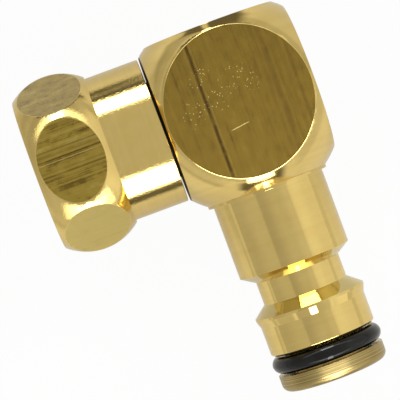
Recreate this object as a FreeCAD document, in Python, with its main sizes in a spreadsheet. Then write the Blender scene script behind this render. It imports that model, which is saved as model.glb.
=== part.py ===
import FreeCAD, Part
import Sketcher
import math
import os

# Swivel hose connector: a brass elbow with a quick-connect nipple and a free-turning hex nut.
# It lies on its back: the nut is on -X, the nipple points along -Y and one flat side of the
# block faces up, +Z. The origin is on the nipple's axis at its root, in the plane of the block's
# foot face. Each piece is drawn round the crossing of the two waterways. Millimetres.

doc = FreeCAD.newDocument("SwivelHoseConnector")

sizes = doc.addObject("Spreadsheet::Sheet", "Sizes")
driving = [
    # block, cut from square bar and turned round the nipple's axis
    ("bar_side", 22.6),
    ("block_top", 12.2),
    ("block_foot", 13.4),
    ("block_foot_land", 0.4),
    ("block_edge_break", 0.15),
    ("barrel_radius", 15.7),
    ("barrel_arc", 16.3),
    # nipple for the hose end
    ("spigot_radius", 8.5),
    ("spigot_length", 11.3),
    ("neck_radius", 6.45),
    ("neck_lead", 1.3),
    ("neck_length", 3.5),
    ("ridge_radius", 8.45),
    ("ridge_rise", 1.6),
    ("ridge_crest", 0.4),
    ("ridge_fall", 1.1),
    ("skirt_radius", 8.07),
    ("skirt_length", 4.5),
    ("skirt_break", 0.3),
    ("seal_groove_width", 3.1),
    ("seal_groove_radius", 5.85),
    ("nose_radius", 8.1),
    ("nose_length", 2.6),
    ("nose_round", 1.15),
    ("seal_section", 2.6),
    # waterways
    ("outlet_bore_radius", 4.5),
    ("outlet_bore_break", 0.4),
    ("bore_overrun", 0.8),
    ("drill_point", 2.7),
    # swivel nut
    ("hex_wall", 1.3025),
    ("hex_length", 11.2),
    ("hex_turn", 2.0),
    ("hex_corner_cut", 0.3009364),
    ("nut_barrel_arc", 8.6),
    ("collar_wall", 1.7545),
    ("collar_length", 8.2),
    ("collar_break", 0.35),
    ("nut_gap", 0.3),
    ("thread_minor_radius", 9.3155),
    ("thread_depth", 1.162),
    ("thread_mouth_extra", 0.12),
    ("relief_width", 2.3),
    ("relief_extra", 0.12),
    ("relief_step_gap", 0.1),
    ("nut_shoulder_width", 1.8155),
    ("journal_bore_length", 7.0),
    # stem that the nut turns on
    ("journal_clearance", 0.05),
    ("stem_play", 0.05),
    ("flange_thickness", 1.6),
    ("flange_clearance", 0.2),
    ("flange_break", 0.2),
    ("stem_groove_width", 2.0),
    ("stem_groove_depth", 1.25),
    ("stem_groove_spacing", 3.2),
    ("stem_seal_clearance", 0.02),
    ("stem_wall", 2.0),
    ("tail_shoulder", 0.95),
    ("tail_length", 5.6),
    ("tail_break", 0.5),
    ("tail_clearance", 0.01),
    ("tail_hole_spare", 0.4),
    ("key_land", 0.8),
    ("key_depth", 2.9),
    # washers
    ("thrust_washer_thickness", 0.6),
    ("thrust_washer_clearance", 0.12),
    ("inlet_washer_thickness", 2.0),
    ("inlet_washer_width", 4.4475),
    ("inlet_washer_clearance", 0.25),
]
for row, (alias, value) in enumerate(driving, start=1):
    sizes.set("A%d" % row, alias.replace("_", " "))
    sizes.set("B%d" % row, str(value))
    sizes.setAlias("B%d" % row, alias)
doc.recompute()

# Places worked out from the sizes, as distances along X or Y from the crossing of the waterways
# and as radii from the axis in use.
places = doc.addObject("Spreadsheet::Sheet", "Places")
worked = [
    ("thread_major_radius", "Sizes.thread_minor_radius + Sizes.thread_depth"),
    ("relief_radius", "thread_major_radius + Sizes.relief_extra"),
    ("journal_bore_radius", "Sizes.thread_minor_radius - Sizes.nut_shoulder_width"),
    ("journal_radius", "journal_bore_radius - Sizes.journal_clearance"),
    ("stem_groove_radius", "journal_radius - Sizes.stem_groove_depth"),
    ("inlet_bore_radius", "stem_groove_radius - Sizes.stem_wall"),
    ("tail_radius", "journal_radius - Sizes.tail_shoulder"),
    ("bar_half", "Sizes.bar_side / 2"),
    ("bar_half_back", "-Sizes.bar_side / 2"),
    ("clear_of_bar", "Sizes.bar_side"),
    ("top_face", "Sizes.block_top"),
    ("foot_face", "-Sizes.block_foot"),
    ("foot_land_edge", "-(Sizes.block_foot - Sizes.block_foot_land)"),
    ("barrel_offset", "Sizes.barrel_radius - Sizes.barrel_arc"),
    ("top_edge_side", "top_face - Sizes.block_edge_break"),
    ("top_side_radius", "barrel_offset + sqrt(Sizes.barrel_arc ^ 2 - top_edge_side ^ 2)"),
    ("top_edge_radius", "top_side_radius - Sizes.block_edge_break"),
    ("foot_radius", "barrel_offset + sqrt(Sizes.barrel_arc ^ 2 - foot_land_edge ^ 2)"),
    ("spigot_end", "foot_face - Sizes.spigot_length"),
    ("neck_start", "spigot_end - Sizes.neck_lead"),
    ("neck_end", "neck_start - Sizes.neck_length"),
    ("crest_start", "neck_end - Sizes.ridge_rise"),
    ("crest_end", "crest_start - Sizes.ridge_crest"),
    ("skirt_start", "crest_end - Sizes.ridge_fall"),
    ("skirt_end", "skirt_start - Sizes.skirt_length"),
    ("skirt_break_start", "skirt_end + Sizes.skirt_break"),
    ("skirt_break_radius", "Sizes.skirt_radius - Sizes.skirt_break"),
    ("nose_start", "skirt_end - Sizes.seal_groove_width"),
    ("nose_end", "nose_start - Sizes.nose_length"),
    ("nose_round_start", "nose_end + Sizes.nose_round"),
    ("nose_face_radius", "Sizes.nose_radius - Sizes.nose_round"),
    ("seal_centre", "(skirt_end + nose_start) / 2"),
    ("seal_centre_radius", "Sizes.seal_groove_radius + Sizes.seal_section / 2"),
    ("bore_mouth_radius", "Sizes.outlet_bore_radius + Sizes.outlet_bore_break"),
    ("bore_mouth_end", "nose_end + Sizes.outlet_bore_break"),
    ("bore_top", "inlet_bore_radius + Sizes.bore_overrun"),
    ("bore_point", "bore_top + Sizes.drill_point"),
    ("inlet_face", "-Sizes.bar_side / 2"),
    ("tail_end", "inlet_face + Sizes.tail_length"),
    ("tail_break_start", "tail_end - Sizes.tail_break"),
    ("tail_break_radius", "tail_radius - Sizes.tail_break"),
    ("tail_hole_end", "tail_end + Sizes.tail_hole_spare"),
    ("tail_hole_radius", "tail_radius + Sizes.tail_clearance"),
    ("tail_hole_mouth_radius", "tail_hole_radius + Sizes.outlet_bore_break"),
    ("tail_hole_mouth_end", "inlet_face + Sizes.outlet_bore_break"),
    ("collar_end", "inlet_face - Sizes.nut_gap"),
    ("collar_break_start", "collar_end - Sizes.collar_break"),
    ("collar_radius", "Sizes.thread_minor_radius + Sizes.collar_wall"),
    ("collar_break_radius", "collar_radius - Sizes.collar_break"),
    ("collar_start", "collar_end - Sizes.collar_length"),
    ("mouth", "collar_start - Sizes.hex_length"),
    ("hex_middle", "(mouth + collar_start) / 2"),
    ("hex_flat", "relief_radius + Sizes.hex_wall"),
    ("hex_flat_back", "-hex_flat"),
    ("hex_half_flat", "hex_flat / sqrt(3)"),
    ("hex_half_flat_back", "-hex_half_flat"),
    ("hex_corner", "2 * hex_half_flat"),
    ("hex_corner_back", "-hex_corner"),
    ("clear_of_hex", "2 * hex_flat"),
    ("nut_barrel_radius", "hex_corner - Sizes.hex_corner_cut"),
    ("nut_barrel_offset", "nut_barrel_radius - Sizes.nut_barrel_arc"),
    ("hex_end_radius", "nut_barrel_offset + sqrt(Sizes.nut_barrel_arc ^ 2 - (Sizes.hex_length / 2) ^ 2)"),
    ("nut_shoulder", "collar_end - Sizes.journal_bore_length"),
    ("washer_face", "nut_shoulder - Sizes.stem_play"),
    ("flange_back", "washer_face - Sizes.thrust_washer_thickness"),
    ("flange_face", "flange_back - Sizes.flange_thickness"),
    ("relief_end", "flange_face + Sizes.relief_step_gap"),
    ("relief_start", "relief_end - Sizes.relief_width"),
    ("mouth_radius", "thread_major_radius + Sizes.thread_mouth_extra"),
    ("mouth_end", "mouth + mouth_radius - Sizes.thread_minor_radius"),
    ("flange_radius", "Sizes.thread_minor_radius - Sizes.flange_clearance"),
    ("flange_break_radius", "flange_radius - Sizes.flange_break"),
    ("flange_break_face", "flange_face + Sizes.flange_break"),
    ("flange_break_back", "flange_back - Sizes.flange_break"),
    ("journal_middle", "collar_end - Sizes.journal_bore_length / 2"),
    ("seal_one_centre", "journal_middle - Sizes.stem_groove_spacing / 2"),
    ("seal_two_centre", "journal_middle + Sizes.stem_groove_spacing / 2"),
    ("seal_one_start", "seal_one_centre - Sizes.stem_groove_width / 2"),
    ("seal_one_end", "seal_one_centre + Sizes.stem_groove_width / 2"),
    ("seal_two_start", "seal_two_centre - Sizes.stem_groove_width / 2"),
    ("seal_two_end", "seal_two_centre + Sizes.stem_groove_width / 2"),
    ("stem_seal_outer", "journal_bore_radius - Sizes.stem_seal_clearance"),
    ("stem_seal_radius", "(stem_seal_outer - stem_groove_radius) / 2"),
    ("stem_seal_centre_radius", "(stem_seal_outer + stem_groove_radius) / 2"),
    ("key_flat", "inlet_bore_radius + Sizes.key_land"),
    ("key_flat_back", "-key_flat"),
    ("key_half_flat", "key_flat / sqrt(3)"),
    ("key_half_flat_back", "-key_half_flat"),
    ("key_corner", "2 * key_half_flat"),
    ("key_corner_back", "-key_corner"),
    ("thrust_bore_radius", "journal_radius + Sizes.thrust_washer_clearance"),
    ("inlet_washer_radius", "relief_radius - Sizes.inlet_washer_clearance"),
    ("inlet_washer_bore_radius", "inlet_washer_radius - Sizes.inlet_washer_width"),
    ("inlet_washer_face", "flange_face - Sizes.inlet_washer_thickness"),
    ("axis_line", "0"),
]
workedNames = [alias for alias, formula in worked]
for row, (alias, formula) in enumerate(worked, start=1):
    places.set("A%d" % row, alias.replace("_", " "))
    places.set("B%d" % row, "=" + formula)
    places.setAlias("B%d" % row, alias)
doc.recompute()


def sheetOf(alias):
    return places if alias in workedNames else sizes


def number(alias):
    return float(sheetOf(alias).get(alias))


def formula(alias):
    return sheetOf(alias).Name + "." + alias


def planeOf(body, role):
    return [f for f in body.Origin.OriginFeatures if f.Role == role][0]


def newBody(label):
    body = doc.addObject("PartDesign::Body", label)
    body.Label = label
    return body


def newSketch(body, name, role, offset=None):
    sketch = body.newObject("Sketcher::SketchObject", name)
    sketch.AttachmentSupport = [(planeOf(body, role), "")]
    sketch.MapMode = "FlatFace"
    if offset:
        sketch.setExpression("AttachmentOffset.Base.z", formula(offset))
    return sketch


# ties one distance or radius to its cell
def hold(sketch, kind, refs, alias):
    index = sketch.addConstraint(Sketcher.Constraint(kind, *refs, number(alias)))
    sketch.setExpression("Constraints[%d]" % index, formula(alias))


# Closed outline. Corners are pairs of cell names. An arc replaces the side that starts at its
# corner: (corner, centre, radius cell).
def drawOutline(sketch, corners, arcs=()):
    points = [FreeCAD.Vector(number(a), number(b), 0) for a, b in corners]
    count = len(points)
    rounds = {start: rest for start, *rest in arcs}
    ends = []
    for i in range(count):
        first = points[i]
        last = points[(i + 1) % count]
        if i in rounds:
            middle, radius = rounds[i][0], number(rounds[i][1])
            centre = FreeCAD.Vector(middle[0], middle[1], 0)
            begin = math.atan2(first.y - centre.y, first.x - centre.x)
            sweep = math.atan2(last.y - centre.y, last.x - centre.x) - begin
            sweep = (sweep + math.pi) % (2 * math.pi) - math.pi
            span = sorted((begin, begin + sweep))
            circle = Part.Circle(centre, FreeCAD.Vector(0, 0, 1), radius)
            index = sketch.addGeometry(Part.ArcOfCircle(circle, *span), False)
            ends.append((index, 1, 2) if sweep > 0 else (index, 2, 1))
            hold(sketch, "Radius", (index,), rounds[i][1])
        else:
            index = sketch.addGeometry(Part.LineSegment(first, last), False)
            ends.append((index, 1, 2))
    for i in range(count):
        before = ends[i - 1]
        after = ends[i]
        sketch.addConstraint(Sketcher.Constraint("Coincident", before[0], before[2], after[0], after[1]))
        hold(sketch, "DistanceX", (-1, 1, after[0], after[1]), corners[i][0])
        hold(sketch, "DistanceY", (-1, 1, after[0], after[1]), corners[i][1])


def drawCircle(sketch, centreX, centreY, radius):
    centre = FreeCAD.Vector(number(centreX), number(centreY), 0)
    index = sketch.addGeometry(Part.Circle(centre, FreeCAD.Vector(0, 0, 1), number(radius)), False)
    hold(sketch, "Radius", (index,), radius)
    hold(sketch, "DistanceX", (-1, 1, index, 3), centreX)
    hold(sketch, "DistanceY", (-1, 1, index, 3), centreY)


# Revolution adds and Groove cuts, a full turn about one axis of the sketch
def turn(body, kind, name, sketch, axis):
    before = body.Shape.Volume if body.Tip else 0.0
    feature = body.newObject("PartDesign::" + kind, name)
    feature.Profile = sketch
    feature.ReferenceAxis = (sketch, [axis])
    feature.Angle = 360
    doc.recompute()
    change = body.Shape.Volume - before
    if (change > 0) != (kind == "Revolution"):
        raise RuntimeError(name + " changed nothing")
    return feature


# ---- elbow body: square bar turned into the block and the nipple

elbow = newBody("elbow_body")

barSection = newSketch(elbow, "BarSection", "XY_Plane")
drawOutline(barSection, [
    ("bar_half", "top_face"),
    ("bar_half_back", "top_face"),
    ("bar_half_back", "nose_end"),
    ("bar_half", "nose_end"),
])
bar = elbow.newObject("PartDesign::Pad", "SquareBar")
bar.Profile = barSection
bar.Midplane = True
bar.setExpression("Length", "Sizes.bar_side")
doc.recompute()

# everything outside the turned outline comes off: barrel, spigot, neck, locking ridge, skirt, nose
turnedOutside = newSketch(elbow, "TurnedOutside", "XY_Plane")
drawOutline(turnedOutside, [
    ("top_edge_radius", "top_face"),
    ("top_side_radius", "top_edge_side"),
    ("foot_radius", "foot_land_edge"),
    ("foot_radius", "foot_face"),
    ("spigot_radius", "foot_face"),
    ("spigot_radius", "spigot_end"),
    ("neck_radius", "neck_start"),
    ("neck_radius", "neck_end"),
    ("ridge_radius", "crest_start"),
    ("ridge_radius", "crest_end"),
    ("skirt_radius", "skirt_start"),
    ("skirt_radius", "skirt_break_start"),
    ("skirt_break_radius", "skirt_end"),
    ("seal_groove_radius", "skirt_end"),
    ("seal_groove_radius", "nose_start"),
    ("nose_radius", "nose_start"),
    ("nose_radius", "nose_round_start"),
    ("nose_face_radius", "nose_end"),
    ("clear_of_bar", "nose_end"),
    ("clear_of_bar", "top_face"),
], arcs=[
    (1, (number("barrel_offset"), 0), "barrel_arc"),
    (16, (number("nose_face_radius"), number("nose_round_start")), "nose_round"),
])
turn(elbow, "Groove", "TurnBlockAndNipple", turnedOutside, "V_Axis")

outletBore = newSketch(elbow, "OutletBoreHalf", "XY_Plane")
drawOutline(outletBore, [
    ("axis_line", "nose_end"),
    ("bore_mouth_radius", "nose_end"),
    ("outlet_bore_radius", "bore_mouth_end"),
    ("outlet_bore_radius", "bore_top"),
    ("axis_line", "bore_point"),
])
turn(elbow, "Groove", "OutletBore", outletBore, "V_Axis")

inletBore = newSketch(elbow, "InletBoreHalf", "XY_Plane")
drawOutline(inletBore, [
    ("inlet_face", "axis_line"),
    ("inlet_face", "tail_hole_mouth_radius"),
    ("tail_hole_mouth_end", "tail_hole_radius"),
    ("tail_hole_end", "tail_hole_radius"),
    ("tail_hole_end", "inlet_bore_radius"),
    ("axis_line", "inlet_bore_radius"),
    ("axis_line", "axis_line"),
])
turn(elbow, "Groove", "InletBore", inletBore, "H_Axis")

# ---- O-ring near the tip of the nipple

outletSeal = newBody("outlet_o_ring")
outletSealSection = newSketch(outletSeal, "OutletSealSection", "XY_Plane")
centre = FreeCAD.Vector(number("seal_centre_radius"), number("seal_centre"), 0)
ring = outletSealSection.addGeometry(Part.Circle(centre, FreeCAD.Vector(0, 0, 1), 1.3), False)
hold(outletSealSection, "Diameter", (ring,), "seal_section")
hold(outletSealSection, "DistanceX", (-1, 1, ring, 3), "seal_centre_radius")
hold(outletSealSection, "DistanceY", (-1, 1, ring, 3), "seal_centre")
turn(outletSeal, "Revolution", "OutletSealRing", outletSealSection, "V_Axis")

# ---- stem: flange, journal with two seal grooves, tail that screws into the block

stem = newBody("swivel_stem")
stemHalf = newSketch(stem, "StemHalf", "XY_Plane")
drawOutline(stemHalf, [
    ("flange_face", "inlet_bore_radius"),
    ("flange_face", "flange_break_radius"),
    ("flange_break_face", "flange_radius"),
    ("flange_break_back", "flange_radius"),
    ("flange_back", "flange_break_radius"),
    ("flange_back", "journal_radius"),
    ("inlet_face", "journal_radius"),
    ("inlet_face", "tail_radius"),
    ("tail_break_start", "tail_radius"),
    ("tail_end", "tail_break_radius"),
    ("tail_end", "inlet_bore_radius"),
])
turn(stem, "Revolution", "TurnedStem", stemHalf, "H_Axis")

for which in ("one", "two"):
    grooveHalf = newSketch(stem, "SealGrooveHalf" + which.capitalize(), "XY_Plane")
    drawOutline(grooveHalf, [
        ("seal_%s_start" % which, "stem_groove_radius"),
        ("seal_%s_end" % which, "stem_groove_radius"),
        ("seal_%s_end" % which, "journal_bore_radius"),
        ("seal_%s_start" % which, "journal_bore_radius"),
    ])
    turn(stem, "Groove", "SealGroove" + which.capitalize(), grooveHalf, "H_Axis")

# hexagon socket for the key that tightens the stem
keyHexagon = newSketch(stem, "KeyHexagon", "YZ_Plane", "flange_face")
drawOutline(keyHexagon, [
    ("key_half_flat", "key_flat"),
    ("key_half_flat_back", "key_flat"),
    ("key_corner_back", "axis_line"),
    ("key_half_flat_back", "key_flat_back"),
    ("key_half_flat", "key_flat_back"),
    ("key_corner", "axis_line"),
])
solidStem = stem.Shape.Volume
keySocket = stem.newObject("PartDesign::Pocket", "KeySocket")
keySocket.Profile = keyHexagon
keySocket.Reversed = True
keySocket.setExpression("Length", "Sizes.key_depth")
doc.recompute()
if stem.Shape.Volume > solidStem - 1:
    raise RuntimeError("the key socket cuts nothing")

# ---- the two seals in the stem's grooves

for which, label in (("one", "stem_o_ring_front"), ("two", "stem_o_ring_rear")):
    seal = newBody(label)
    section = newSketch(seal, "StemSealSection" + which.capitalize(), "XY_Plane")
    drawCircle(section, "seal_%s_centre" % which, "stem_seal_centre_radius", "stem_seal_radius")
    turn(seal, "Revolution", "StemSealRing" + which.capitalize(), section, "H_Axis")

# ---- washers on both sides of the stem's flange

thrustWasher = newBody("thrust_washer")
thrustHalf = newSketch(thrustWasher, "ThrustWasherHalf", "XY_Plane")
drawOutline(thrustHalf, [
    ("flange_back", "thrust_bore_radius"),
    ("flange_back", "flange_radius"),
    ("washer_face", "flange_radius"),
    ("washer_face", "thrust_bore_radius"),
])
turn(thrustWasher, "Revolution", "ThrustRing", thrustHalf, "H_Axis")

inletWasher = newBody("inlet_washer")
inletHalf = newSketch(inletWasher, "InletWasherHalf", "XY_Plane")
drawOutline(inletHalf, [
    ("inlet_washer_face", "inlet_washer_bore_radius"),
    ("inlet_washer_face", "inlet_washer_radius"),
    ("flange_face", "inlet_washer_radius"),
    ("flange_face", "inlet_washer_bore_radius"),
])
turn(inletWasher, "Revolution", "SealingRing", inletHalf, "H_Axis")

# ---- swivel nut: hexagon bar turned to a barrel, with a round collar behind it

nut = newBody("swivel_nut")
hexagon = newSketch(nut, "Hexagon", "YZ_Plane", "mouth")
drawOutline(hexagon, [
    ("hex_half_flat", "hex_flat"),
    ("hex_half_flat_back", "hex_flat"),
    ("hex_corner_back", "axis_line"),
    ("hex_half_flat_back", "hex_flat_back"),
    ("hex_half_flat", "hex_flat_back"),
    ("hex_corner", "axis_line"),
])
hexBar = nut.newObject("PartDesign::Pad", "HexagonBar")
hexBar.Profile = hexagon
hexBar.setExpression("Length", "Sizes.hex_length + Sizes.collar_length")
doc.recompute()

nutOutside = newSketch(nut, "NutOutside", "XY_Plane")
drawOutline(nutOutside, [
    ("mouth", "hex_end_radius"),
    ("collar_start", "hex_end_radius"),
    ("collar_start", "collar_radius"),
    ("collar_break_start", "collar_radius"),
    ("collar_end", "collar_break_radius"),
    ("collar_end", "clear_of_hex"),
    ("mouth", "clear_of_hex"),
], arcs=[
    (0, (number("hex_middle"), number("nut_barrel_offset")), "nut_barrel_arc"),
])
turn(nut, "Groove", "TurnBarrelAndCollar", nutOutside, "H_Axis")

# thread mouth, thread core, relief, seat of the flange and the journal bore, in one bored outline
nutInside = newSketch(nut, "NutInside", "XY_Plane")
drawOutline(nutInside, [
    ("mouth", "axis_line"),
    ("mouth", "mouth_radius"),
    ("mouth_end", "thread_minor_radius"),
    ("relief_start", "thread_minor_radius"),
    ("relief_start", "relief_radius"),
    ("relief_end", "relief_radius"),
    ("relief_end", "thread_minor_radius"),
    ("nut_shoulder", "thread_minor_radius"),
    ("nut_shoulder", "journal_bore_radius"),
    ("collar_end", "journal_bore_radius"),
    ("collar_end", "axis_line"),
])
turn(nut, "Groove", "ThreadBoreAndJournalBore", nutInside, "H_Axis")

# ---- places in the part's frame; the hexagon stands a little turned on its axis

turned = FreeCAD.Rotation(FreeCAD.Vector(1, 0, 0), -number("hex_turn"))
nut.Placement = FreeCAD.Placement(FreeCAD.Vector(0, 0, 0), turned)
pieces = [item for item in doc.Objects if item.TypeId == "PartDesign::Body"]
for piece in pieces:
    piece.setExpression("Placement.Base.y", "Sizes.block_foot")
doc.recompute()

# ---- every object is sound before anything is written

for item in doc.Objects:
    if "Invalid" in item.State or "Error" in item.State:
        raise RuntimeError(item.Label + " has failed: " + str(item.State))

for piece in pieces:
    shape = piece.Shape
    if shape.isNull() or not shape.isValid() or len(shape.Solids) != 1:
        raise RuntimeError(piece.Label + " is not one sound solid")

os.makedirs("parts", exist_ok=True)
for piece in pieces:
    piece.Shape.exportStep(os.path.join("parts", piece.Label + ".step"))
    print(piece.Label, "%.1f mm3" % piece.Shape.Volume)
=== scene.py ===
import math
import bpy
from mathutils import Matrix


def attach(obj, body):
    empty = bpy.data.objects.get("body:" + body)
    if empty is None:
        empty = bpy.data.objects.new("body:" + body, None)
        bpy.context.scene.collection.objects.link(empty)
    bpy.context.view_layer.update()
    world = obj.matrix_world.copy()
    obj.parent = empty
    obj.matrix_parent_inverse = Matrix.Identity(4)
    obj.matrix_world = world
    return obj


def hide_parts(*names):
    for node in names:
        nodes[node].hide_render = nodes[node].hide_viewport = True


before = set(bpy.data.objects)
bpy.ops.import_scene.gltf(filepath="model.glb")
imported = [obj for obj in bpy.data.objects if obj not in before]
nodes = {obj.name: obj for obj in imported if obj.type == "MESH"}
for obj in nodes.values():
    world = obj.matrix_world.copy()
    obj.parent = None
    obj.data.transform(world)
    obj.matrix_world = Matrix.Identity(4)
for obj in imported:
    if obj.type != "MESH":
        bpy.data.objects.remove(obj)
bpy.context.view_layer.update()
print("frame loaded,", len(nodes), "nodes")

mm = 0.001
waterwayHeight = 13.4  # the nut's axis, in mm above the foot of the block
weld = 1e-7  # points this close are one, in metres
faceShare = 0.83  # how much the radius counts in a turning ring's place, so that rings cross faces too


# ---------- shader helpers

# a node's output that can be used in sums
class Wire:
    def __init__(self, shade, socket):
        self.shade = shade
        self.socket = socket

    def sum(self, operation, *terms):
        return self.shade.node("Math", {"operation": operation}, dict(enumerate(terms)))

    def __add__(self, other):
        return self.sum("ADD", self, other)

    __radd__ = __add__

    def __sub__(self, other):
        return self.sum("SUBTRACT", self, other)

    def __rsub__(self, other):
        return self.sum("SUBTRACT", other, self)

    def __mul__(self, other):
        return self.sum("MULTIPLY", self, other)

    __rmul__ = __mul__

    def __truediv__(self, other):
        return self.sum("DIVIDE", self, other)

    def __pow__(self, other):
        return self.sum("POWER", self, other)

    def __abs__(self):
        return self.sum("ABSOLUTE", self)

    def __gt__(self, other):
        return self.sum("GREATER_THAN", self, other)

    def __lt__(self, other):
        return self.sum("LESS_THAN", self, other)


class Shade:
    def __init__(self, tree):
        self.tree = tree
        tree.nodes.clear()

    # type, settings, then the values or links of its sockets
    def node(self, kind, settings=None, inputs=None, out=0):
        made = self.tree.nodes.new("ShaderNode" + kind)
        for key, value in (settings or {}).items():
            if key == "stops":
                band = made.color_ramp.elements
                while len(band) < len(value):
                    band.new(0.5)
                for stop, (place, colour) in zip(band, value):
                    stop.position = place
                    stop.color = (*colour, 1)
            else:
                setattr(made, key, value)
        for key, value in (inputs or {}).items():
            if isinstance(value, Wire):
                self.tree.links.new(value.socket, made.inputs[key])
            else:
                made.inputs[key].default_value = value
        return Wire(self, made.outputs[out]) if len(made.outputs) else None

    # 0 below low, 1 above high, smooth between
    def rise(self, value, low, high):
        return self.node("MapRange", {"interpolation_type": "SMOOTHSTEP"},
                         {"Value": value, "From Min": low, "From Max": high, "To Min": 0.0, "To Max": 1.0})

    def fall(self, value, low, high):
        return 1 - self.rise(value, low, high)

    # 1 within width of a place, fading out over soft
    def near(self, value, place, width, soft):
        return self.fall(abs(value - place), width, width + soft)

    # colours come as a wire or as three numbers
    def blend(self, factor, first, second):
        first, second = [tint if isinstance(tint, Wire) else (*tint, 1) for tint in (first, second)]
        return self.node("Mix", {"data_type": "RGBA"}, {0: factor, 6: first, 7: second}, 2)

    def parts(self, vector):
        cut = self.node("SeparateXYZ", None, {0: vector})
        outs = cut.socket.node.outputs
        return [Wire(self, outs[i]) for i in range(3)]

    def join(self, x, y, z):
        return self.node("CombineXYZ", None, {0: x, 1: y, 2: z})

    def noise(self, vector, scale=1.0, detail=3.0, rough=0.5):
        return self.node("TexNoise", None, {"Vector": vector, "Scale": scale, "Detail": detail, "Roughness": rough})

    def noiseLine(self, value, scale=1.0, detail=2.0):
        return self.node("TexNoise", {"noise_dimensions": "1D"}, {"W": value, "Scale": scale, "Detail": detail})


def newMaterial(name):
    material = bpy.data.materials.new(name)
    material.use_nodes = True
    shade = Shade(material.node_tree)
    # object coordinates in mm
    place = shade.node("TexCoord", None, None, 3)
    inMm = shade.node("VectorMath", {"operation": "SCALE"}, {0: place, "Scale": 1000.0})
    return material, shade, inMm


# the way along a piece's axis and the two ways across it
def aboutAxis(shade, place, axis):
    x, y, z = shade.parts(place)
    if axis == "Y":
        return y, x, z
    return x, y - waterwayHeight, z


# camera rays, and rays that a mirror or glass sends on
def rayKinds(shade):
    outs = shade.node("LightPath").socket.node.outputs
    names = ("Is Camera Ray", "Is Glossy Ray", "Is Transmission Ray")
    seen, glossy, through = [Wire(shade, outs[name]) for name in names]
    return seen, glossy + through


def finishMaterial(shade, colour, metallic, roughness, height=None, fixed=None):
    inputs = {"Base Color": colour, "Metallic": metallic, "Roughness": roughness}
    inputs.update(fixed or {})
    if height is not None:
        inputs["Normal"] = shade.node("Bump", None, {"Height": height, "Distance": mm, "Strength": 1.0})
    surface = shade.node("BsdfPrincipled", None, inputs)
    shade.node("OutputMaterial", None, {0: surface})


# ---------- finishes

# brass turned on the lathe: fine rings round the axis, chatter, a little oil haze
turnedFinish = {
    "colour": (0.82, 0.620, 0.225),
    "deep": (0.78, 0.575, 0.195),
    "roughness": 0.08,
    # pattern sizes are per mm, heights in mm
    "ringScale": 7.0,
    "ringHeight": 0.00012,
    "broadScale": 1.1,
    "chatterScale": (4.0, 36.0),  # along, round
    "chatterHeight": 0.0020,
    "hazeScale": 0.35,
    "grooveScale": 4.2,
    "grooveFrom": (0.60, 0.68),
    "grooveHeight": 0.0003,
    # cones cut with a fresh edge and polished: from and to along the axis, and how far their colour is paled as a
    # painted highlight tint
    "bright": [(-12.65, -11.35, 0.75), (-17.75, -16.05, 0.75), (-19.2, -18.1, 0.0)],
    "brightSoft": 0.03,
    "brightRoughness": 0.035,
    "paintedHighlightTint": (0.72, 0.60, 0.27),
    "wornAndShadedBelow": -26.8,  # the nose, dulled by the coupling, and painted darker in rings as painted shade that dims its highlight
    "wornAndShadedSoft": 0.1,
    "wornRoughness": 0.30,
    "paintedNoseShade": (0.27, 0.205, 0.088),
    "paintedRimShadeFrom": 11.15,  # painted shade on the block's rim beside the nut, standing for the shade in the gap between them
    "paintedRimShadeSoft": 0.04,
    "paintedRimShadeRoughness": 0.35,
    "paintedRimShade": (0.030, 0.022, 0.012),
}
# the nut shows more chatter, and has no fresh cones, no worn nose painted darker, and no painted rim shade
nutTurnedFinish = dict(turnedFinish, chatterHeight=0.018, bright=[], wornAndShadedBelow=None, paintedRimShadeFrom=None)


def makeTurned(name, axis, values):
    material, shade, place = newMaterial(name)
    along, sideA, sideB = aboutAxis(shade, place, axis)
    radius = (sideA * sideA + sideB * sideB) ** 0.5
    path = along + radius * faceShare
    chatterAlong, chatterRound = values["chatterScale"]
    turnA = sideA / (radius + 0.01)
    turnB = sideB / (radius + 0.01)
    rings = shade.noiseLine(path, values["ringScale"], 3.0)
    broad = shade.noiseLine(path, values["broadScale"], 2.0)
    shake = shade.join(path * chatterAlong, turnA * chatterRound, turnB * chatterRound)
    chatter = shade.noise(shake, 1.0, 2.0, 0.6)
    haze = shade.noise(place, values["hazeScale"], 3.0, 0.55)
    grooves = shade.rise(shade.noiseLine(path, values["grooveScale"], 2.0), *values["grooveFrom"])  # single tool marks
    height = rings * values["ringHeight"] + chatter * values["chatterHeight"] - grooves * values["grooveHeight"]
    tone = shade.rise(haze * 0.6 + broad * 0.4, 0.32, 0.68)
    colour = shade.blend(tone, values["deep"], values["colour"])
    polish = 0.0
    soft = values["brightSoft"]
    for low, high, pale in values["bright"]:
        band = shade.rise(along, low - soft, low + soft) * shade.fall(along, high - soft, high + soft)
        polish = band + polish
        # painted highlight: the cones' colour is paled towards the cream of the highlights they reflect; their lower
        # roughness is their polish
        colour = shade.blend(band * pale, colour, values["paintedHighlightTint"])
    roughness = (rings - 0.5) * 0.03 + (haze - 0.5) * 0.04 + values["roughness"]
    if values["bright"]:
        roughness = roughness * (1 - polish) + polish * values["brightRoughness"]
    # the nose: rougher from wear, and its colour painted darker to dim the lamps' highlight there
    if values["wornAndShadedBelow"] is not None:
        worn = shade.fall(along, values["wornAndShadedBelow"] - values["wornAndShadedSoft"], values["wornAndShadedBelow"] + values["wornAndShadedSoft"])
        roughness = roughness + worn * (values["wornRoughness"] - values["roughness"])
        colour = shade.blend(worn * (rings * 1.7 - 0.05), colour, values["paintedNoseShade"])  # in rings: painted shade over the nose's highlight
    # painted shade: the block's rim facing the nut is darkened and roughened so that the gap between them reads dark
    if values["paintedRimShadeFrom"] is not None:
        start, soft = values["paintedRimShadeFrom"], values["paintedRimShadeSoft"]
        paintedRimShade = shade.rise(0.0 - sideA, start - soft, start + soft)
        colour = shade.blend(paintedRimShade, colour, values["paintedRimShade"])
        roughness = roughness + paintedRimShade * values["paintedRimShadeRoughness"]
    finishMaterial(shade, colour, 1.0, roughness, height)
    return material


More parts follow.
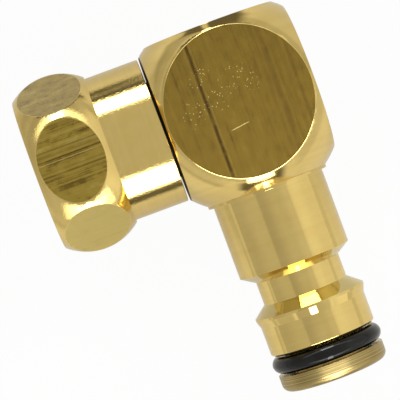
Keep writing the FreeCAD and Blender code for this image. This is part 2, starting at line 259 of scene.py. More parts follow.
# bar surface as it left the drawing die: olive brown, lines along the bar, specks and handling marks
blockFlatFinish = {
    "colour": (0.178, 0.115, 0.0215),
    "dark": (0.112, 0.067, 0.018),
    "light": (0.244, 0.172, 0.041),
    "spark": (0.80, 0.64, 0.26),
    "roughness": 0.37,
    "streaks": 0.27,
    "mottle": 0.22,
    "grit": 0.10,
    "groove": (0.050, 0.027, 0.011),
    # drawing lines: place across the bar, half width, depth (negative is a ridge)
    "lines": [
        (-4.55, 0.25, 0.032), (-4.08, 0.09, -0.008), (-5.0, 0.10, -0.004), (3.1, 0.15, 0.003), (4.9, 0.35, 0.006),
        (5.9, 0.50, 0.009), (6.9, 0.22, 0.006), (8.0, 0.30, 0.005), (9.0, 0.26, 0.010), (-7.9, 0.25, 0.003),
    ],
    # where handling left bright specks: place across, place along, reach
    "specks": [
        (-4.1, 18.4, 2.6), (-1.0, 16.3, 2.6), (-2.75, 14.6, 2.6), (-6.8, 13.8, 3.0), (2.6, 15.8, 2.4), (1.2, 18.1, 2.0),
    ],
    # bright scratches: middle across, middle along, half length, slant
    "scratches": [(-1.1, 10.0, 1.6, 0.127)],
}
# the nut's three flat finishes are lit and shaded copies: their colour levels are painted light and shade by which way
# a flat faces, darkest on the front flat and lightest on the lower one; their lines, mottle and grit are the flats' own
# marks
nutFrontShadedFinish = {
    "colour": (0.430, 0.305, 0.058),
    "dark": (0.170, 0.110, 0.026),
    "light": (0.640, 0.500, 0.170),
    "roughness": 0.34,
    "streaks": 0.50,
    "mottle": 0.40,
    "grit": 0.16,
    "groove": (0.095, 0.058, 0.018),
    "lines": [
        (1.44, 0.13, 0.020), (1.00, 0.08, -0.012), (2.10, 0.25, 0.008), (2.73, 0.16, 0.010), (-0.84, 0.16, 0.014),
        (-0.25, 0.20, 0.006), (4.6, 0.25, -0.004), (6.0, 0.25, 0.010), (-1.5, 0.10, 0.006),
    ],
}
nutUpperHalfLitFinish = {
    "colour": (0.460, 0.350, 0.135),
    "dark": (0.285, 0.210, 0.110),
    "light": (0.660, 0.540, 0.240),
    "roughness": 0.42,
    "streaks": 0.20,
    "mottle": 0.75,
    "grit": 0.42,
}
nutLowerLitFinish = {
    "colour": (0.570, 0.445, 0.146),
    "dark": (0.485, 0.375, 0.116),
    "light": (0.640, 0.510, 0.173),
    "roughness": 0.40,
    "streaks": 0.22,
    "mottle": 0.40,
    "grit": 0.14,
}
# what all drawn flats share: pattern sizes (across, along the bar), and how far lines colour the metal
drawnPattern = {
    "broadScale": (0.9, 0.012),
    "fineScale": (4.5, 0.03),
    "cloudScale": (0.9, 0.5),
    "grainScale": 7.0,
    "speckScale": 2.4,
    "wander": 0.16,
    "deepLine": 0.015,
    "deepTint": 0.85,
    "darkTint": 55,
    "lightTint": 70,
    "mostTint": 0.8,
    "sparkTint": 0.55,
}


def makeDrawn(name, axis, values, seed):
    material, shade, place = newMaterial(name)
    along, across, aside = aboutAxis(shade, place, axis)
    pattern = drawnPattern

    # noise stretched along the bar
    def drawn(scale, detail, rough):
        wide, long = scale
        return shade.noise(shade.join(across * wide, along * long + seed, aside * wide), 1.0, detail, rough)

    broad = drawn(pattern["broadScale"], 3.0, 0.6)
    fine = drawn(pattern["fineScale"], 3.0, 0.6)
    cloud = drawn(pattern["cloudScale"], 5.0, 0.65)  # tarnish
    grain = shade.noise(place, pattern["grainScale"], 3.0, 0.6)
    tone = (broad - 0.5) * values["streaks"] + (fine - 0.5) * values["streaks"] * 0.5
    tone = tone + (cloud - 0.5) * values["mottle"] + (grain - 0.5) * values["grit"] + 0.5
    colour = shade.blend(shade.rise(tone, 0.50, 0.34), values["colour"], values["dark"])
    colour = shade.blend(shade.rise(tone, 0.52, 0.70) * 0.8, colour, values["light"])
    height = broad * 0.008 * values["streaks"] + fine * 0.0025 * values["streaks"]
    height = height + cloud * 0.006 * values["mottle"] + grain * 0.0010
    wander = (cloud - 0.5) * pattern["wander"]
    for spot, width, depth in values.get("lines", []):
        fade = shade.rise(shade.noiseLine(along * 0.35 + spot * 7.0), 0.25, 0.55)
        line = shade.near(across + wander, spot, width * 0.3, width) * (fade * 0.5 + 0.5)
        height = height - line * depth
        if depth > pattern["deepLine"]:
            share, tint = pattern["deepTint"], values["groove"]
        elif depth > 0:
            share, tint = min(pattern["mostTint"], depth * pattern["darkTint"]), values["dark"]
        else:
            share, tint = min(pattern["mostTint"], -depth * pattern["lightTint"]), values["light"]
        colour = shade.blend(line * share, colour, tint)
    if "specks" in values:
        spots = shade.node("TexVoronoi", None, {"Vector": place, "Scale": pattern["speckScale"]})
        zone = 0.0
        for spotAcross, spotAlong, far in values["specks"]:
            stepAcross, stepAlong = across - spotAcross, along - spotAlong
            away = (stepAcross * stepAcross + stepAlong * stepAlong) ** 0.5
            zone = shade.fall(away, far * 0.3, far) + zone
        dots = shade.fall(spots, 0.10, 0.24) * shade.rise(zone * shade.noise(place, 1.3, 2.0, 0.5), 0.18, 0.36)
        colour = shade.blend(dots * pattern["sparkTint"], colour, values["spark"])
        height = height - dots * 0.005
    for spotAcross, spotAlong, half, slant in values.get("scratches", []):
        slip = along - spotAlong - (across - spotAcross) * slant + (grain - 0.5) * 0.10
        mark = shade.near(slip, 0.0, 0.03, 0.06) * shade.near(across, spotAcross, half * 0.6, half * 0.4)
        colour = shade.blend(mark * pattern["sparkTint"], colour, values["spark"])
        height = height - mark * 0.004
    roughness = values["roughness"] + (cloud - 0.5) * 0.16 + (fine - 0.5) * 0.08
    finishMaterial(shade, colour, 1.0, roughness, height)
    return material


# turned stem, with painted shade: a dark band on its outside where its tail runs into the block, so that the gap
# between nut and block reads dark
stemFinish = {
    "colour": (0.74, 0.53, 0.19),
    "paintedGapShade": (0.016, 0.012, 0.009),
    "paintedGapShadeFrom": -12.4,
    "paintedGapShadeSoft": 0.15,
    "paintedGapShadeOutside": (4.6, 4.9),  # radius, so that the painted shade stays off the bore
    "roughness": 0.18,
}


def makeStem(name, values):
    material, shade, place = newMaterial(name)
    along, sideA, sideB = aboutAxis(shade, place, "X")
    radius = (sideA * sideA + sideB * sideB) ** 0.5
    rings = shade.noiseLine(along + radius * faceShare, 6.0, 3.0)
    cloud = shade.noise(place, 0.9, 4.0, 0.6)
    start, soft = values["paintedGapShadeFrom"], values["paintedGapShadeSoft"]
    # painted shade on the stem where it shows through the gap between nut and block
    gapShadeMask = shade.rise(along + (cloud - 0.5) * 1.2, start - soft, start + soft)
    gapShadeMask = gapShadeMask * shade.rise(radius, *values["paintedGapShadeOutside"])
    tone = shade.blend(cloud, values["colour"], [v * 0.85 for v in values["colour"]])
    colour = shade.blend(gapShadeMask, tone, values["paintedGapShade"])
    roughness = values["roughness"] + gapShadeMask * 0.45 + (cloud - 0.5) * 0.1
    finishMaterial(shade, colour, 1 - gapShadeMask, roughness, rings * 0.0006 + cloud * gapShadeMask * 0.03)
    return material


# black nitrile rubber, a little oily
rubberFinish = {"colour": (0.006, 0.006, 0.006), "dust": (0.024, 0.022, 0.020), "roughness": 0.07, "specular": 0.30}


def makeRubber(name, values):
    material, shade, place = newMaterial(name)
    fine = shade.noise(place, 6.0, 3.0, 0.6)
    cloud = shade.noise(place, 0.8, 3.0, 0.5)
    dust = shade.rise(fine * 0.5 + cloud * 0.5, 0.55, 0.75) * 0.35
    colour = shade.blend(dust, values["colour"], values["dust"])
    roughness = values["roughness"] + (cloud - 0.5) * 0.05
    height = fine * 0.0005 + cloud * 0.001
    finishMaterial(shade, colour, 0.0, roughness, height, {"Specular IOR Level": values["specular"]})
    return material


# white bearing plastic with faint turning marks
plasticFinish = {"colour": (0.78, 0.76, 0.70), "worn": (0.60, 0.57, 0.50), "roughness": 0.42}


def makePlastic(name, values):
    material, shade, place = newMaterial(name)
    sideA, sideB = aboutAxis(shade, place, "X")[1:]
    radius = (sideA * sideA + sideB * sideB) ** 0.5
    rings = shade.noiseLine(radius, 5.0, 2.0)
    cloud = shade.noise(place, 0.9, 3.0, 0.5)
    colour = shade.blend(shade.rise(cloud, 0.45, 0.7), values["colour"], values["worn"])
    finishMaterial(shade, colour, 0.0, values["roughness"] + (cloud - 0.5) * 0.1, rings * 0.003)
    return material


turnedAlongY = makeTurned("turnedBrassNipple", "Y", turnedFinish)
turnedAlongX = makeTurned("turnedBrassNut", "X", nutTurnedFinish)
stemBrass = makeStem("stemBrass", stemFinish)
drawnBlock = makeDrawn("drawnBrassBlock", "Y", blockFlatFinish, 3.0)
drawnNutFrontShaded = makeDrawn("drawnBrassNutFrontShaded", "X", nutFrontShadedFinish, 11.0)
drawnNutUpperHalfLit = makeDrawn("drawnBrassNutUpperHalfLit", "X", nutUpperHalfLitFinish, 17.0)
drawnNutLowerLit = makeDrawn("drawnBrassNutLowerLit", "X", nutLowerLitFinish, 23.0)
blackRubber = makeRubber("sealRubber", rubberFinish)
washerPlastic = makePlastic("bearingPlastic", plasticFinish)
print("finishes made")


# ---------- modelling helpers

def clearSelection():
    if bpy.context.object and bpy.context.object.mode != "OBJECT":
        bpy.ops.object.mode_set(mode="OBJECT")
    bpy.ops.object.select_all(action="DESELECT")


def editAll():
    bpy.ops.object.mode_set(mode="EDIT")
    bpy.ops.mesh.select_all(action="SELECT")


# selects the faces whose centre and normal pass the test, and leaves edit mode on
def pickFaces(piece, test):
    bpy.ops.object.mode_set(mode="OBJECT")
    bpy.context.tool_settings.mesh_select_mode = (False, False, True)
    for item in [*piece.data.vertices, *piece.data.edges]:
        item.select = False
    for face in piece.data.polygons:
        face.select = test(face.center / mm, face.normal)
    bpy.ops.object.mode_set(mode="EDIT")


def pickEdges(piece, test):
    bpy.ops.object.mode_set(mode="OBJECT")
    bpy.context.tool_settings.mesh_select_mode = (False, True, False)
    for item in [*piece.data.vertices, *piece.data.polygons]:
        item.select = False
    spots = piece.data.vertices
    for edge in piece.data.edges:
        edge.select = test(spots[edge.vertices[0]].co / mm, spots[edge.vertices[1]].co / mm)
    bpy.ops.object.mode_set(mode="EDIT")


# points of an arc in an outline, ends left out
def arcPoints(centre, radius, start, end, steps):
    first = math.atan2(start[1] - centre[1], start[0] - centre[0])
    last = math.atan2(end[1] - centre[1], end[0] - centre[0])
    turn = (last - first + math.pi) % (2 * math.pi) - math.pi
    angles = [first + turn * i / steps for i in range(1, steps)]
    return [(centre[0] + radius * math.cos(a), centre[1] + radius * math.sin(a)) for a in angles]


# one vertex at the first spot, extruded from spot to spot; edit mode stays on
def drawLine(name, spots):
    clearSelection()
    bpy.context.tool_settings.mesh_select_mode = (True, False, False)
    bpy.ops.mesh.primitive_plane_add(size=0.2 * mm, location=spots[0])
    piece = bpy.context.object
    piece.name = name
    bpy.ops.object.transform_apply(location=True, rotation=True, scale=True)
    editAll()
    bpy.ops.mesh.merge(type="CENTER")
    for before, after in zip(spots, spots[1:]):
        step = [b - a for a, b in zip(before, after)]
        bpy.ops.mesh.extrude_region_move(TRANSFORM_OT_translate={"value": step})
    return piece


# draws an outline of (along, radius) in mm and spins it about the axis
def turnOutline(name, axis, outline, steps, closed):
    if closed:
        outline = outline + outline[:1]
    if axis == "Y":
        spots = [(radius * mm, along * mm, 0.0) for along, radius in outline]
        middle, way = (0, 0, 0), (0, 1, 0)
    else:
        spots = [(along * mm, (waterwayHeight + radius) * mm, 0.0) for along, radius in outline]
        middle, way = (0, waterwayHeight * mm, 0), (1, 0, 0)
    piece = drawLine(name, spots)
    bpy.ops.mesh.select_all(action="SELECT")
    bpy.ops.mesh.remove_doubles(threshold=weld)
    bpy.ops.mesh.spin(steps=steps, angle=2 * math.pi, center=middle, axis=way)
    bpy.ops.mesh.select_all(action="SELECT")
    bpy.ops.mesh.remove_doubles(threshold=weld)
    bpy.ops.mesh.normals_make_consistent(inside=False)
    bpy.ops.object.mode_set(mode="OBJECT")
    return piece


# takes the cutter out of the piece and removes it
def cutOut(piece, cutter):
    clearSelection()
    cut = piece.modifiers.new("cut", "BOOLEAN")
    cut.operation = "DIFFERENCE"
    cut.solver = "EXACT"
    cut.object = cutter
    bpy.context.view_layer.objects.active = piece
    piece.select_set(True)
    bpy.ops.object.modifier_apply(modifier=cut.name)
    bpy.data.objects.remove(cutter)


# a plane slices the piece: what lies outside goes, and the cut is closed
def sliceFlat(piece, point, normal):
    bpy.context.view_layer.objects.active = piece
    editAll()
    bpy.ops.mesh.bisect(plane_co=[v * mm for v in point], plane_no=normal, use_fill=True,
                        clear_outer=True, threshold=weld)
    bpy.ops.object.mode_set(mode="OBJECT")


# breaks the selected edges, width in mm
def bevelEdges(width, segments=2):
    bpy.ops.mesh.bevel(offset=width * mm, offset_type="OFFSET", segments=segments, profile=0.5, affect="EDGES")


# breaks the sharp circles at the given (along, radius) places
def breakCircles(piece, axis, circles, width):
    def measure(spot):
        if axis == "Y":
            return spot.y, math.hypot(spot.x, spot.z)
        return spot.x, math.hypot(spot.y - waterwayHeight, spot.z)

    def onCircle(a, b):
        for along, radius in circles:
            if all(math.dist(measure(p), (along, radius)) < 0.004 for p in (a, b)):
                return True
        return False

    bpy.context.view_layer.objects.active = piece
    pickEdges(piece, onCircle)
    bevelEdges(width)
    bpy.ops.object.mode_set(mode="OBJECT")


# evens out the points round the flats, then breaks the rims
def breakRims(piece, onFlat, values):
    pickEdges(piece, lambda a, b: onFlat(a) and onFlat(b))
    bpy.ops.mesh.remove_doubles(threshold=values["rimMerge"] * mm)
    pickEdges(piece, lambda a, b: onFlat(a) and onFlat(b))
    bevelEdges(values["rimBreak"])


# a border round the flats keeps their shading apart from the turned faces
def insetFlats(piece, flatFace, values):
    pickFaces(piece, flatFace)
    bpy.ops.mesh.inset(thickness=values["flatInset"] * mm, depth=0.0)


def assignMaterial(piece, test, slot):
    pickFaces(piece, test)
    piece.active_material_index = slot
    bpy.ops.object.material_slot_assign()


def giveMaterials(piece, *materials):
    for material in materials:
        piece.data.materials.append(material)


# a small angle, so that the long turned faces keep their own shading next to the edge breaks
def smoothByAngle(piece, degrees=12):
    clearSelection()
    bpy.context.view_layer.objects.active = piece
    piece.select_set(True)
    bpy.ops.object.shade_smooth_by_angle(angle=math.radians(degrees))


# ---------- elbow body

elbow = {
    "steps": 160,
    "barrelSteps": 36,
    "noseSteps": 24,
    "boreSteps": 96,
    "topFace": 25.6,
    "topEdge": (25.45, 10.2270),
    "edgeBreak": 0.15,
    "footLand": (0.4, 9.2330),
    "barrelCentre": (13.4, -0.6),
    "barrelArc": 16.3,
    "barHalf": 11.3,
    "rimBreak": 0.05,
    "rimMerge": 0.16,
    "flatInset": 0.25,
    "fineBreak": 0.03,
    # along and radius; where there are two places along, from and to
    "spigot": (-11.3, 8.5),
    "neck": (-12.6, -16.1, 6.45),
    "ridge": (-17.7, -18.1, 8.45),
    "skirt": (-19.2, -23.4, 8.07),
    "sealGroove": (-23.7, -26.8, 5.85),
    "nose": (-26.8, -28.25, 8.1),
    "noseRound": 1.15,
    "skirtChamfer": 0.3,
    "boreChamfer": 0.4,
    "bore": (-29.4, -29.0, 18.4, 21.1, 4.5),  # mouth, chamfer's end, cone's start and tip, radius
    "sideBore": [(-11.5, 0.0), (-11.5, 7.11), (-10.9, 6.51), (-5.3, 6.51), (-5.3, 4.2), (0.0, 4.2), (0.0, 0.0)],
}


def makeElbow(values):
    top = values["topEdge"]
    land = values["footLand"]
    neckStart, neckEnd, neckRadius = values["neck"]
    ridgeStart, ridgeEnd, ridgeRadius = values["ridge"]
    skirtStart, skirtEnd, skirtRadius = values["skirt"]
    grooveStart, grooveEnd, grooveRadius = values["sealGroove"]
    noseStart, roundFrom, noseRadius = values["nose"]
    boreMouth, chamferEnd, coneStart, coneTip, boreRadius = values["bore"]
    roundStart = (roundFrom, noseRadius)
    roundEnd = (boreMouth, noseRadius - values["noseRound"])
    outline = [(values["topFace"], 0.0), (values["topFace"], top[1] - values["edgeBreak"]), top]
    outline += arcPoints(values["barrelCentre"], values["barrelArc"], top, land, values["barrelSteps"])
    outline += [land, (0.0, land[1]), (0.0, values["spigot"][1]), values["spigot"]]
    outline += [(neckStart, neckRadius), (neckEnd, neckRadius)]
    outline += [(ridgeStart, ridgeRadius), (ridgeEnd, ridgeRadius)]
    outline += [(skirtStart, skirtRadius), (skirtEnd, skirtRadius)]
    outline += [(grooveStart, skirtRadius - values["skirtChamfer"])]
    outline += [(grooveStart, grooveRadius), (grooveEnd, grooveRadius)]
    outline += [(noseStart, noseRadius), roundStart]
    outline += arcPoints((roundFrom, roundEnd[1]), values["noseRound"], roundStart, roundEnd, values["noseSteps"])
    outline += [roundEnd, (boreMouth, boreRadius + values["boreChamfer"]), (chamferEnd, boreRadius)]
    outline += [(coneStart, boreRadius), (coneTip, 0.0)]
    piece = turnOutline("elbow", "Y", outline, values["steps"], False)
    giveMaterials(piece, turnedAlongY, drawnBlock)

    # the other turned edges are as sharp as in the photograph
    breakCircles(piece, "Y", [(0.0, land[1])], values["fineBreak"])
    breakCircles(piece, "Y", [(noseStart, noseRadius), (skirtEnd, skirtRadius)], values["fineBreak"])

    # the bar's four flats stay as round patches
    half = values["barHalf"]
    for normal in ((1, 0, 0), (-1, 0, 0), (0, 0, 1), (0, 0, -1)):
        sliceFlat(piece, [half * n for n in normal], normal)

    def onFlat(spot):
        return abs(abs(spot.x) - half) < 0.002 or abs(abs(spot.z) - half) < 0.002

    def flatFace(centre, normal):
        return max(abs(normal.x), abs(normal.z)) > 0.999 and onFlat(centre)

    breakRims(piece, onFlat, values)
    insetFlats(piece, flatFace, values)
    assignMaterial(piece, flatFace, 1)
    bpy.ops.object.mode_set(mode="OBJECT")

    # hole for the stem's tail and the waterway behind it
    cutter = turnOutline("sideBoreCutter", "X", values["sideBore"], values["boreSteps"], False)
    cutOut(piece, cutter)
    smoothByAngle(piece)
    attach(piece, "elbow")
    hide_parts("elbow_body")


makeElbow(elbow)
print("elbow modelled")


# ---------- outlet O-ring

outletRing = {
    "centre": (-25.25, 7.15),
    "section": 1.3,
    "sectionSteps": 32,
    "steps": 128,
    "flash": 0.025,
    "flashWidth": 0.06,
}


def makeOutletRing(values):
    clearSelection()
    along, radius = values["centre"]
    bpy.ops.mesh.primitive_circle_add(vertices=values["sectionSteps"], radius=values["section"] * mm,
                                      location=(radius * mm, along * mm, 0), fill_type="NOTHING")
    piece = bpy.context.object
    piece.name = "outletRing"
    bpy.ops.object.transform_apply(location=True, rotation=True, scale=True)
    editAll()
    bpy.ops.mesh.spin(steps=values["steps"], angle=2 * math.pi, center=(0, 0, 0), axis=(0, 1, 0))
    bpy.ops.mesh.select_all(action="SELECT")
    bpy.ops.mesh.remove_doubles(threshold=weld)
    bpy.ops.mesh.normals_make_consistent(inside=False)
    # flash line left by the mould
    outer = radius + values["section"]

    def onParting(a, b):
        return all(abs(p.y - along) < 0.01 and math.hypot(p.x, p.z) > outer - 0.01 for p in (a, b))

    pickEdges(piece, onParting)
    bevelEdges(values["flashWidth"], 1)
    grow = 1 + values["flash"] / outer
    bpy.ops.transform.resize(value=(grow, 1, grow), center_override=(0, 0, 0))
    bpy.ops.object.mode_set(mode="OBJECT")
    giveMaterials(piece, blackRubber)
    smoothByAngle(piece, 60)
    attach(piece, "elbow")
    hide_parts("outlet_o_ring")


makeOutletRing(outletRing)
print("outlet ring modelled")


# ---------- swivel nut

nut = {
    "steps": 144,
    "barrelSteps": 32,
    "mouth": -31.0,
    "mouthBreak": (0.12, 0.08, 0.06),  # below the end radius on the face, then along and above it
    "collarStart": -19.8,
    "collarEnd": -11.6,
    "barrelCentre": (-25.4, 4.84),
    "barrelArc": 8.6,
    "endRadius": 11.367,
    "collarRadius": 11.07,
    "collarBreak": 0.07,
    "collarRound": 0.02,
    "flat": 11.9,
    "turn": 2.0,
    "rimBreak": 0.06,
    "rimMerge": 0.12,
    "flatInset": 0.2,
    "mouthRadius": 10.5975,
    "coreRadius": 9.3155,
    "relief": (-23.05, -20.75, 10.5975),
    "shoulder": -18.6,
    "journalRadius": 7.5,
}
# G 1/2 thread: 14 turns to the inch, 55 degree flanks
pipeThread = {
    "pitch": 1.814,
    "flank": 27.5,
    "crest": 10.4775,
    "root": 9.25,
    "crestRound": (0.03, 0.05, 0.06),  # down the flank, in on the crest, height
    "start": -34.0,
    "turns": 7,
    "steps": 96,
    "ends": ((-31.2, -1), (-22.2, 1)),  # where the rod is cut off, and which way
}


# threaded rod that cuts the nut's thread
def makeThreadRod(values):
    pitch = values["pitch"]
    crest, root = values["crest"], values["root"]
    lean = (crest - root) * math.tan(math.radians(values["flank"]))
    crestHalf = pitch / 12
    middle = pitch / 2
    down, inward, low = values["crestRound"]
    outline = [
        (0.0, root),
        (middle - crestHalf - lean, root),
        (middle - crestHalf - down, crest - low),
        (middle - crestHalf + inward, crest),
        (middle + crestHalf - inward, crest),
        (middle + crestHalf + down, crest - low),
        (middle + crestHalf + lean, root),
        (pitch, root),
    ]
    spots = [((values["start"] + along) * mm, radius * mm, 0.0) for along, radius in outline]
    rod = drawLine("threadRod", spots)
    bpy.ops.object.mode_set(mode="OBJECT")
    winding = rod.modifiers.new("winding", "SCREW")
    winding.axis = "X"
    winding.screw_offset = pitch * mm
    winding.iterations = values["turns"]
    winding.steps = winding.render_steps = values["steps"]
    winding.use_merge_vertices = True
    winding.merge_threshold = 1e-7
    bpy.ops.object.modifier_apply(modifier=winding.name)
    editAll()
    bpy.ops.mesh.remove_doubles(threshold=weld)
    bpy.ops.transform.translate(value=(0, waterwayHeight * mm, 0))
    for end, way in values["ends"]:
        bpy.ops.mesh.select_all(action="SELECT")
        bpy.ops.mesh.bisect(plane_co=(end * mm, waterwayHeight * mm, 0), plane_no=(way, 0, 0), use_fill=True,
                            clear_outer=True, threshold=weld)
    bpy.ops.mesh.select_all(action="SELECT")
    bpy.ops.mesh.normals_make_consistent(inside=False)
    bpy.ops.object.mode_set(mode="OBJECT")
    return rod


def makeNut(values):
    mouth = values["mouth"]
    core = values["coreRadius"]
    endRadius = values["endRadius"]
    breakIn, breakAlong, breakOut = values["mouthBreak"]
    collarStart, collarEnd, collarRadius = values["collarStart"], values["collarEnd"], values["collarRadius"]
    collarBreak = values["collarBreak"]
    start, end, reliefRadius = values["relief"]
    front = (mouth, endRadius)
    back = (collarStart, endRadius)
    outline = [(mouth, values["mouthRadius"]), (mouth, endRadius - breakIn), (mouth + breakAlong, endRadius + breakOut)]
    outline += arcPoints(values["barrelCentre"], values["barrelArc"], front, back, values["barrelSteps"])
    outline += [back, (collarStart, collarRadius), (collarEnd - collarBreak, collarRadius)]
    outline += [(collarEnd, collarRadius - collarBreak)]
    outline += [(collarEnd, values["journalRadius"]), (values["shoulder"], values["journalRadius"])]
    outline += [(values["shoulder"], core), (end, core), (end, reliefRadius), (start, reliefRadius), (start, core)]
    outline += [(mouth + values["mouthRadius"] - core, core)]
    piece = turnOutline("swivelNut", "X", outline, values["steps"], True)
    giveMaterials(piece, turnedAlongX, drawnNutFrontShaded, drawnNutUpperHalfLit, drawnNutLowerLit)
    breakCircles(piece, "X", [(collarEnd - collarBreak, collarRadius)], values["collarRound"])

    # the hexagon bar's six flats
    normals = []
    for k in range(6):
        angle = math.radians(values["turn"] + 60 * k)
        normals.append((0.0, math.sin(angle), math.cos(angle)))
    for normal in normals:
        point = (0.0, waterwayHeight + values["flat"] * normal[1], values["flat"] * normal[2])
        sliceFlat(piece, point, normal)

    def away(spot):
        return max((spot.y - waterwayHeight) * n[1] + spot.z * n[2] for n in normals)

    def onFlat(spot):
        return abs(away(spot) - values["flat"]) < 0.002

    def flatFace(centre, normal):
        return abs(normal.x) < 0.002 and onFlat(centre)

    breakRims(piece, onFlat, values)
    insetFlats(piece, flatFace, values)
    # opposite flats share a finish; the three finishes are copies painted darker or lighter by which way their flats
    # face
    for way, slot in zip(normals, (1, 2, 3, 1, 2, 3)):
        def thisFlat(centre, normal):
            return flatFace(centre, normal) and normal.y * way[1] + normal.z * way[2] > 0.99

        assignMaterial(piece, thisFlat, slot)
    bpy.ops.object.mode_set(mode="OBJECT")

    # the thread in its mouth
    rod = makeThreadRod(pipeThread)
    cutOut(piece, rod)
    smoothByAngle(piece)
    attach(piece, "nut")
    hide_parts("swivel_nut")


makeNut(nut)
print("nut modelled")


# ---------- pieces that stay as the CAD has them, with their finish

carried = {
    "swivel_stem": stemBrass,
    "stem_o_ring_front": blackRubber,
    "stem_o_ring_rear": blackRubber,
    "thrust_washer": washerPlastic,
    "inlet_washer": blackRubber,
}
for name, material in carried.items():
    nodes[name].data.materials.clear()
    nodes[name].data.materials.append(material)
print("CAD nodes finished")


# ---------- studio

studio = {
    "floorHeight": -12.13,
    "paper": (0.60, 0.59, 0.56),
    "paperPaintedLight": (0.80, 0.79, 0.76),
    "paperPaintedShade": (0.40, 0.39, 0.36),
    "tableBeyond": (0.16, 0.15, 0.13),
    "roomTint": (1.0, 0.985, 0.93),
    "roomLevel": 0.56,
    "lampTint": (0.96, 0.98, 1.0),
    # how much of the white page the metal mirrors in the room, and on the floor
    "whiteShare": 0.12,
    "floorShare": 0.30,
    "floorSeen": 0.96,  # the camera sees the floor a little less white, and its shadow
    # name, side (1 is +Y), angle from straight up, distance, length along X, width, level, lights only
    "lamps": [
        ("softboxNorth", 1, 67.8, 1.20, 0.40, 0.44, 7.0, None),
        ("softboxSouth", -1, 68.3, 1.20, 0.16, 0.73, 7.0, None),
        ("fillSouth", -1, 68.3, 1.20, 2.20, 0.62, 1.2, ("swivelNut",)),
        ("slotSouth", -1, 46.0, 1.20, 0.27, 0.40, 7.0, ("elbow",)),
        ("softboxAbove", -1, 25.5, 1.20, 1.25, 0.44, 8.0, ("elbow",)),
        ("cardSouth", -1, 85.0, 0.26, 0.105, 0.062, 4.0, ("elbow",)),
        ("cardNorth", 1, 90.5, 0.30, 0.036, 0.018, 3.0, ("elbow",)),
    ],
}

# the floor's pattern in mm from the middle of the world; pairs are where a change starts and ends
floorPlan = {
    "slantFrom": (5.0, 1.0),  # x and y that the slant is measured from
    "ahead": (0.45, 0.75),  # slant of the sector towards either lamp
    "northEdge": (86.0, 102.0),
    "northEdgeNearer": ((2.0, 16.0), 26.0),  # east of this the edge comes nearer
    "northSlant": (0.35, 0.60),
    "northWest": (24.0, 42.0),
    "northStrip": ((-3.5, 2.5, 4.0), 0.85),  # paper that runs on beyond the edge
    "farStrip": ((-4.0, 4.0, 4.0), (260.0, 420.0), 0.7),
    "southEdge": (66.0, 78.0),
    "southSlant": (0.24, 0.42),
    "southWest": (60.0, 160.0),
    "nearSouth": (0.0, 18.0),
    "nearReach": (70.0, 110.0),
    "paintedLightAcross": (5.0, 15.0, 60.0),
}

clearSelection()
bpy.ops.mesh.primitive_plane_add(size=5.0, location=(0, 0, studio["floorHeight"] * mm))
floor = bpy.context.object
floor.name = "floor"
bpy.ops.object.transform_apply(location=True, rotation=True, scale=True)

# pale paper on a duller table; the camera sees it nearly white, with the object's shadow
floorMaterial, shade, place = newMaterial("paleFloor")
seen, mirrored = rayKinds(shade)
x, y, z = shade.parts(place)
west, south = 0.0 - x, 0.0 - y
fromX, fromY = floorPlan["slantFrom"]
slant = abs(x + fromX) / (abs(y) + fromY)
away = (x * x + y * y) ** 0.5
ahead = shade.fall(slant, *floorPlan["ahead"])

# the table beyond the paper
nearer, nearerBy = floorPlan["northEdgeNearer"]
edgeNorth = shade.rise(y + shade.rise(x, *nearer) * nearerBy, *floorPlan["northEdge"])
edgeNorth = edgeNorth * shade.fall(slant, *floorPlan["northSlant"]) * shade.fall(west, *floorPlan["northWest"])
strip, share = floorPlan["northStrip"]
edgeNorth = edgeNorth * (1 - shade.near(x, *strip) * share)
strip, start, share = floorPlan["farStrip"]
edgeNorth = edgeNorth * (1 - shade.near(x, *strip) * shade.rise(y, *start) * share)
edgeSouth = shade.rise(south, *floorPlan["southEdge"]) * shade.fall(slant, *floorPlan["southSlant"])
edgeSouth = edgeSouth * shade.fall(west, *floorPlan["southWest"])
beyond = edgeNorth + edgeSouth

# painted light: paper near the object and towards the lamps is coloured paler, as if lit more
near = shade.rise(south, *floorPlan["nearSouth"]) * shade.fall(away, *floorPlan["nearReach"])
middle, paintedLightFrom, paintedLightTo = floorPlan["paintedLightAcross"]
paintedLight = ahead * shade.rise(abs(y - middle), paintedLightFrom, paintedLightTo) + near

# painted shade: paper coloured darker to the west, twice to the north-west, and to the north-east
paintedShade = shade.rise(west, 38.0, 60.0) * shade.fall(away, 110.0, 160.0) * (1 - near) * (1 - ahead) * 0.6
paintedShadeNorthWest = shade.rise(y, 55.0, 85.0) * shade.rise(west, 22.0, 40.0)
paintedShade = paintedShade + paintedShadeNorthWest * (1 - shade.rise(away, 400.0, 2500.0) * 0.6) * 0.55
paintedShade = paintedShade + shade.rise(y, 60.0, 85.0) * shade.rise(west, 4.0, 14.0) * shade.fall(away, 300.0, 600.0) * 0.35
paintedShade = paintedShade + shade.rise(away, 110.0, 170.0) * shade.rise(x, 20.0, 60.0) * shade.rise(y, 10.0, 40.0) * 0.6
paper = shade.blend(paintedLight, studio["paper"], studio["paperPaintedLight"])
paper = shade.blend(paintedShade, paper, studio["paperPaintedShade"])
paper = shade.blend(beyond, paper, studio["tableBeyond"])
dull = shade.node("BsdfDiffuse", None, {"Color": paper})
bright = shade.node("Emission", None, {"Color": (1, 1, 1, 1), "Strength": 1.0})
share = seen * studio["floorSeen"] + mirrored * (1 - beyond) * (1 - paintedShade * 0.6) * studio["floorShare"]
both = shade.node("MixShader", None, {0: share, 1: dull, 2: bright})
shade.node("OutputMaterial", None, {0: both})
giveMaterials(floor, floorMaterial)

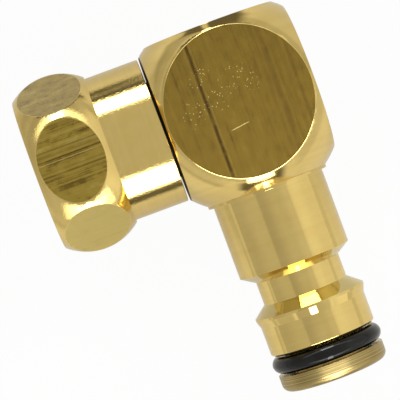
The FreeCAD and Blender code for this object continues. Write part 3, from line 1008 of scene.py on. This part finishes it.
# the room's pattern by direction: x, y and z of the way that a ray goes
roomPlan = {
    "square": (0.50, 0.85),  # how far north and south the two sides reach
    # steps on the right-hand side: from, to, how much brighter
    "right": [(0.20, 0.48, 0.10), (0.53, 0.61, 0.22), (0.60, 0.70, 0.06), (0.76, 1.0, -0.22)],
    "left": ((-0.05, 0.45), (0.49, 0.54), -0.15),
    # low down behind the lamps: sideways from and to, up from and to, how much brighter
    "lowNorth": ((0.84, 0.95), (0.10, 0.20), -0.42),
    "lowSouth": ((0.93, 0.985), (0.05, 0.11), -0.40),
    # paler round each softbox: height, half width and fade, how much, then the two parts of the fall to the sides
    "north": ((0.39, 0.07, 0.07), 1.9, [(0.15, 0.60, 0.7), (0.70, 1.50, 0.8)]),
    "south": ((0.41, 0.09, 0.08), 2.6, [(0.25, 0.45, 0.9), (0.45, 1.00, 0.8)]),
}

# a broad soft light on the right, dimmer to the left and low down behind the lamps
world = bpy.data.worlds.new("studio")
bpy.context.scene.world = world
world.use_nodes = True
shade = Shade(world.node_tree)
seen, mirrored = rayKinds(shade)
toward = shade.node("TexCoord", None, None, 0)
x, y, z = shade.parts(toward)
west, south = 0.0 - x, 0.0 - y
square = shade.fall(abs(y), *roomPlan["square"])
right = 0.0
for start, end, gain in roomPlan["right"]:
    right = shade.rise(x, start, end) * gain + right
right = right * square
start, end, gain = roomPlan["left"]
left = shade.rise(west, *start) * shade.fall(west, *end) * square * gain
low = 0.0
for way, key in ((y, "lowNorth"), (south, "lowSouth")):
    sideways, up, gain = roomPlan[key]
    low = shade.rise(way, *sideways) * shade.fall(z, *up) * gain + low
reach = abs(x) / (abs(y) + 0.01)
wings = 0.0
for way, key in ((y, "north"), (south, "south")):
    height, gain, falls = roomPlan[key]
    band = shade.rise(way, 0.05, 0.25) * shade.near(z, *height) * gain
    spread = 0.0
    for start, end, share in falls:
        spread = shade.fall(reach, start, end) * share + spread
    wings = band * spread + wings
# the wall behind is a little darker to the north and west, lighter to the south
wall = shade.fall(z, 0.25, 0.70) * (x * 0.10 - y * 0.15)
level = right + left + low + wings + wall + studio["roomLevel"]
show = seen + mirrored * studio["whiteShare"]
level = show * (1 - level) + level
tint = shade.blend(seen, studio["roomTint"], (1, 1, 1))
sky = shade.node("Background", None, {"Color": tint, "Strength": level})
shade.node("OutputWorld", None, {0: sky})

for name, side, angle, reach, long, wide, level, only in studio["lamps"]:
    angle = math.radians(angle)
    spot = (-0.01, side * reach * math.sin(angle), reach * math.cos(angle))
    clearSelection()
    bpy.ops.object.light_add(type="AREA", location=spot, rotation=(-side * angle, 0, 0))
    lamp = bpy.context.object
    lamp.name = name
    lamp.data.shape = "RECTANGLE"
    lamp.data.size = long
    lamp.data.size_y = wide
    lamp.data.energy = level * math.pi * long * wide
    lamp.data.color = studio["lampTint"]
    lamp.visible_camera = reach > 1  # the two cards stand close to the object
    if only:
        group = bpy.data.collections.new(name + "Lights")
        for piece in only:
            group.objects.link(bpy.data.objects[piece])
        lamp.light_linking.receiver_collection = group

# camera at the photograph's place, nearly straight above
camera = {"place": (-16.7399, 11.1659, 356.8816), "turn": (-1.02998, -1.53930, -20.32690), "lens": 217.533}
bpy.ops.object.camera_add(location=[v * mm for v in camera["place"]],
                          rotation=[math.radians(v) for v in camera["turn"]])
eye = bpy.context.object
eye.data.sensor_width = 36
eye.data.lens = camera["lens"]
eye.data.clip_start = 0.01
eye.data.clip_end = 20
bpy.context.scene.camera = eye
bpy.context.scene.view_settings.view_transform = "Standard"
print("studio set")
